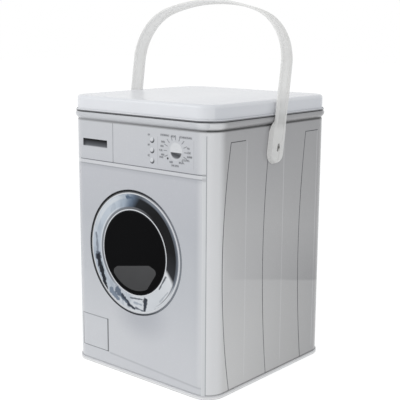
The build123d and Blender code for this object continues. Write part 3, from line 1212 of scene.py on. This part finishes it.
class Shop:
    """Shared ways to turn meshes into finished pieces."""

    @staticmethod
    def link(name: str, data: bpy.types.ID) -> Piece:
        """Put an object that holds the given data into the scene."""
        thing = bpy.data.objects.new(name, data)
        bpy.context.collection.objects.link(thing)
        return thing

    @staticmethod
    def raw(name: str, shape: bmesh.types.BMesh) -> Piece:
        """Make an object of a mesh as it is. The mesh is used up."""
        mesh = bpy.data.meshes.new(name)
        shape.to_mesh(mesh)
        shape.free()
        return Shop.link(name, mesh)

    @staticmethod
    def piece(name: str, shape: bmesh.types.BMesh, sharp: float = 40.0) -> Piece:
        """Make an object of a mesh, smooth but for its sharp edges.

        Args:
            name: Name of the piece.
            shape: The mesh, which is used up.
            sharp: Angle above which an edge stays sharp, in degrees.

        Returns:
            The piece.
        """
        bmesh.ops.recalc_face_normals(shape, faces=shape.faces)
        piece = Shop.raw(name, shape)
        for face in piece.data.polygons:
            face.use_smooth = True
        piece.data.set_sharp_from_angle(angle=math.radians(sharp))
        weighted = piece.modifiers.new("even_shading", "WEIGHTED_NORMAL")
        weighted.keep_sharp = True
        return piece

    @staticmethod
    def dress(piece: Piece, material: Material) -> None:
        """Give every slot of a piece one material."""
        if not piece.material_slots:
            piece.data.materials.append(material)
        for place in piece.material_slots:
            place.link = "OBJECT"
            place.material = material


@dataclass
class TinBody:
    """The printed wall, the seamed foot, and the fields of ink on the wall. Sizes are in millimetres."""

    plan: Plan = field(default_factory=Plan)
    sheet: float = 0.35
    seam_gap: float = 0.04
    seam_height: float = 3.2
    hook_depth: float = 2.6
    base_recess: float = 4.0
    base_step: float = 1.0
    base_border: float = 9.0
    groove_z: float = SHELL.groove_z
    groove_width: float = 2.1
    groove_depth: float = 0.5
    bead_height: float = 6.0
    bead_depth: float = 2.0
    neck_out: float = -0.65
    neck_height: float = 11.8
    rim_radius: float = 1.1
    rim_turn: float = 280.0
    peg_hole_radius: float = 4.1
    peg_hole_flats: int = 48
    lock_seam_width: float = SHELL.lock_seam_width
    lock_seam_clear: float = 2.0

    def build(self) -> list[Piece]:
        """Make and dress every piece that rides on the tin."""
        wall = self._wall()
        foot = self._foot()
        fold = self._lock_fold()
        Shop.dress(wall, PrintedWall().material())
        Shop.dress(foot, PlainTin().material())
        Shop.dress(fold, PlainTin("lock_fold_tin").material())
        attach(fold, "tin")
        self._dress_inks()
        for piece, node, slot in ((wall, "body_wall", "wall_lacquer"), (foot, "bottom_end", "plain_tin")):
            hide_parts(node)
            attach(piece, "tin")
        return [wall, foot, fold]

    def _wall(self) -> Piece:
        """Wall sheet: hook, groove, bead, neck and curled rim, with the peg holes."""
        hook_out = self.sheet + 2 * self.seam_gap
        turn_z = 2 * self.sheet + self.seam_gap
        top = self.groove_z + self.groove_width + self.bead_height
        rim_z = top + self.neck_height
        section = Section().rolled(
            [
                Bend(hook_out, self.hook_depth),
                Bend(hook_out, turn_z, 0.15),
                Bend(0, turn_z, 0.15),
                Bend(0, self.groove_z, 0.7),
                Bend(-self.groove_depth, self.groove_z + 0.4 * self.groove_width, 0.4),
                Bend(-self.groove_depth, self.groove_z + 0.8 * self.groove_width, 0.4),
                Bend(0.7 * self.bead_depth, top - 0.75 * self.bead_height, 1.2),
                Bend(self.bead_depth, top - 0.55 * self.bead_height, 1.2),
                Bend(self.bead_depth, top - 0.25 * self.bead_height, 0.9),
                Bend(0.5 * self.bead_depth, top, 0.5),
                Bend(self.neck_out, top, 0.3),
                Bend(self.neck_out, rim_z),
            ]
        )
        middle = Vector((self.neck_out - self.rim_radius, rim_z))
        section.curled(middle, self.rim_radius, 0.0, self.rim_turn)
        wall = self.plan.carry("tin_wall", section.thick(self.sheet))
        self._cut_peg_holes(wall)
        return wall

    def _cut_peg_holes(self, wall: Piece) -> None:
        """Cut the holes that the strap's pegs pass through.

        Args:
            wall: The wall.
        """
        across = Matrix.Rotation(math.radians(90), 4, "Y")
        radius = self.peg_hole_radius * MM
        sizes = {
            "segments": self.peg_hole_flats,
            "radius1": radius,
            "radius2": radius,
            "depth": 2.4 * self.plan.half_width * MM,
            "matrix": Matrix.Translation(Vector((0, SHELL.pivot_y, SHELL.pivot_z)) * MM) @ across,
        }
        shape = bmesh.new()
        bmesh.ops.create_cone(shape, cap_ends=True, **sizes)
        cutter = Shop.raw("peg_hole_cutter", shape)
        cutter_mesh = cutter.data
        cut = wall.modifiers.new("peg_holes", "BOOLEAN")
        cut.operation = "DIFFERENCE"
        cut.solver = "EXACT"
        cut.object = cutter
        wall.modifiers.move(len(wall.modifiers) - 1, 0)
        bpy.context.view_layer.objects.active = wall
        with bpy.context.temp_override(object=wall, active_object=wall):
            bpy.ops.object.modifier_apply(modifier="peg_holes")
        bpy.data.objects.remove(cutter)
        bpy.data.meshes.remove(cutter_mesh)

    def _lock_fold(self) -> Piece:
        """Folded layers of the upright lock seam, inside the back wall."""
        low = self.base_recess + self.base_step + self.lock_seam_clear
        high = self.groove_z - self.lock_seam_clear
        back = self.plan.half_depth - self.sheet
        half = self.lock_seam_width / 2
        inner = back - 2 * self.sheet
        round_off = self.sheet * 0.8
        profile = (
            (-half, back),
            (-half, inner + round_off),
            (-half + round_off, inner),
            (half - round_off, inner),
            (half, inner + round_off),
            (half, back),
        )
        shape = bmesh.new()
        ends = [[shape.verts.new(Vector((*spot, height)) * MM) for spot in profile] for height in (low, high)]
        for index in range(len(profile)):
            ahead = (index + 1) % len(profile)
            shape.faces.new((ends[0][index], ends[0][ahead], ends[1][ahead], ends[1][index]))
        for end in ends:
            shape.faces.new(end)
        return Shop.piece("lock_fold", shape)

    def _foot(self) -> Piece:
        """Foot: the recessed base panel with its edge rolled round the wall's hook."""
        seam_out = 3 * self.sheet + 3 * self.seam_gap
        chuck_out = -2 * self.sheet - self.seam_gap
        inner_z = 2 * self.sheet + 2 * self.seam_gap
        raised = self.base_recess + self.base_step
        section = Section().rolled(
            [
                Bend(chuck_out - self.base_border - 2 * self.base_step, raised),
                Bend(chuck_out - self.base_border, raised, 0.9),
                Bend(chuck_out - self.base_border + self.base_step, self.base_recess, 0.9),
                Bend(chuck_out, self.base_recess, 0.8),
                Bend(chuck_out, 0, 0.45),
                Bend(seam_out, 0, 0.5),
                Bend(seam_out, self.seam_height, 0.5),
                Bend(self.seam_gap, self.seam_height, 0.5),
                Bend(self.seam_gap, inner_z),
            ]
        )
        return self.plan.carry("foot_seam", section.thick(self.sheet), capped=True)

    def _dress_inks(self) -> None:
        """Give each printed field its ink."""
        door = DoorInks()
        panel = PanelInks()
        marks = panel.line("dial_marks", srgb(132, 134, 138), srgb(166, 168, 172))
        corner = panel.line("corner_line", srgb(172, 174, 177), srgb(188, 190, 193))
        side = panel.line("side_line", srgb(84, 85, 88), srgb(116, 117, 120))
        inks = {
            "door_edge_print": door.edge(),
            "door_chrome_print": door.chrome(),
            "door_glass_print": door.glass(),
            "door_water_print": door.water(),
            "drawer_print": panel.drawer(),
            "panel_line_print": panel.panel_lines(),
            "button_print": panel.buttons(),
            "dial_print": panel.dial(),
            "dial_shadow_print": panel.dial_shadow(),
            "dial_mark_print": marks,
            "flap_line_print": panel.flap_lines(),
            "stripe_print": panel.stripe(),
            "stripe_line_print": corner,
            "side_line_print": side,
        }
        for name, material in inks.items():
            Shop.dress(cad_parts[name], material)


@dataclass
class TinLid:
    """The slip-on lid. Sizes are in millimetres."""

    plan: Plan = field(default_factory=Plan)
    sheet: float = 0.35
    top_z: float = 259.7
    curl_bottom_z: float = 245.2
    edge_radius: float = 3.0
    curl_radius: float = 0.65
    curl_turn: float = 255.0
    border: float = 16.0

    def build(self) -> list[Piece]:
        """Make and dress the lid."""
        curl_z = self.curl_bottom_z + self.curl_radius + self.sheet
        section = Section(9.0).rolled(
            [Bend(-self.border, self.top_z), Bend(0, self.top_z, self.edge_radius), Bend(0, curl_z)]
        )
        section.curled(Vector((self.curl_radius, curl_z)), self.curl_radius, 180.0, self.curl_turn)
        lid = self.plan.carry("lid_shell", section.thick(-self.sheet), capped=True)
        Shop.dress(lid, WhiteLacquer().material())
        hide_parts("lid")
        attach(lid, "lid")
        return [lid]


@dataclass
class StrapHandle:
    """The moulded strap, which is the CAD node in its plastic."""

    def build(self) -> list[Piece]:
        """Dress the strap."""
        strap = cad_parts["handle"]
        Shop.dress(strap, MilkyPlastic().material())
        return [strap]


@dataclass(frozen=True)
class Lamp:
    """A soft lamp that faces the tin: its place and its two sides in metres, and its power in watts."""

    name: str
    place: Place
    size: Point
    power: float


@dataclass
class Studio:
    """Pale sweep, soft lamps and the camera. Lengths are in metres."""

    eye: Place = (0.557027, -0.648927, 0.325206)
    right: Place = (0.75761295, 0.65268337, 0.00520076)
    up: Place = (-0.13007581, 0.14316986, 0.98111298)
    back: Place = (0.63961153, -0.74398039, 0.19336566)
    lens: float = 80.27
    sky: Colour = (0.96, 0.98, 1.0)
    world_light: float = 0.6
    white: Colour = (1.0, 1.0, 1.0)
    paper: Colour = (0.9, 0.9, 0.9)
    paper_grain: Colour = (0.92, 0.92, 0.92)
    floor_half: float = 6.0
    floor_glow: float = 1.22
    floor_share: float = 0.72
    aim_height: float = 0.14
    lamps: tuple[Lamp, ...] = (
        Lamp("key_lamp", (-0.75, -1.3, 1.0), (1.1, 1.1), 6.9),
        Lamp("fill_lamp", (1.35, -0.9, 0.5), (0.9, 1.2), 1.2),
        Lamp("top_lamp", (-0.1, 0.25, 1.5), (1.4, 1.4), 1.0),
    )

    def build(self) -> None:
        """Set the view, the lamps, the floor and the surroundings."""
        self._camera()
        self._world()
        self._floor()
        for lamp in self.lamps:
            self._hang(lamp)
        bpy.context.scene.view_settings.view_transform = "Standard"

    def _camera(self) -> None:
        """Camera at the photograph's place."""
        data = bpy.data.cameras.new("view")
        data.lens = self.lens
        data.sensor_width = 36.0
        data.clip_end = 20.0
        camera = Shop.link("view", data)
        turn = Matrix((self.right, self.up, self.back)).transposed().to_4x4()
        camera.matrix_world = Matrix.Translation(self.eye) @ turn
        bpy.context.scene.camera = camera

    def _world(self) -> None:
        """Even pale surroundings that show as white."""
        nodes = Nodes("surroundings", world=True)
        light = nodes.add("ShaderNodeBackground", None, {0: self.sky, 1: self.world_light})
        white = nodes.add("ShaderNodeBackground", None, {0: self.white, 1: 1.0})
        shares = {0: nodes.seen(), 1: light.outputs[0], 2: white.outputs[0]}
        mix = nodes.add("ShaderNodeMixShader", None, shares)
        nodes.add("ShaderNodeOutputWorld", None, {0: mix.outputs[0]})
        bpy.context.scene.world = nodes.owner

    def _floor(self) -> None:
        """Large pale floor that keeps the object's shadow."""
        shape = bmesh.new()
        bmesh.ops.create_grid(shape, x_segments=1, y_segments=1, size=self.floor_half)
        floor = Shop.raw("floor", shape)
        nodes = Nodes("floor")
        paper = nodes.lay(nodes.noise(3.0, 1.0), self.paper, self.paper_grain)
        matte = nodes.add("ShaderNodeBsdfDiffuse", None, {0: paper})
        glow = nodes.add("ShaderNodeEmission", None, {0: self.white, 1: self.floor_glow})
        shares = {0: nodes.seen() * self.floor_share, 1: matte.outputs[0], 2: glow.outputs[0]}
        mix = nodes.add("ShaderNodeMixShader", None, shares)
        nodes.add("ShaderNodeOutputMaterial", None, {0: mix.outputs[0]})
        floor.data.materials.append(nodes.owner)
        floor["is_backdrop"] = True

    def _hang(self, lamp: Lamp) -> None:
        """Hang one lamp, turned to the tin."""
        data = bpy.data.lights.new(lamp.name, "AREA")
        data.shape = "RECTANGLE"
        data.size, data.size_y = lamp.size
        data.energy = lamp.power
        aim = Vector((0, 0, self.aim_height)) - Vector(lamp.place)
        turn = aim.to_track_quat("-Z", "Y").to_matrix().to_4x4()
        Shop.link(lamp.name, data).matrix_world = Matrix.Translation(lamp.place) @ turn


def write_sizes() -> None:
    """Turn the CAD box and the finished box into plain lists of numbers."""
    boxes = {"cad": CAD_BOX, "visual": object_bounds()}
    plain = {name: [[float(c) for c in corner] for corner in box] for name, box in boxes.items()}


def main() -> None:
    """Build the tin and its studio."""
    logging.basicConfig(level=logging.INFO, format="%(message)s")
    for part in (TinBody(), TinLid(), StrapHandle()):
        for piece in part.build():
            LOG.info("%s: %d faces", piece.name, len(piece.data.polygons))
    Studio().build()
    write_sizes()


if __name__ == "__main__":
    main()
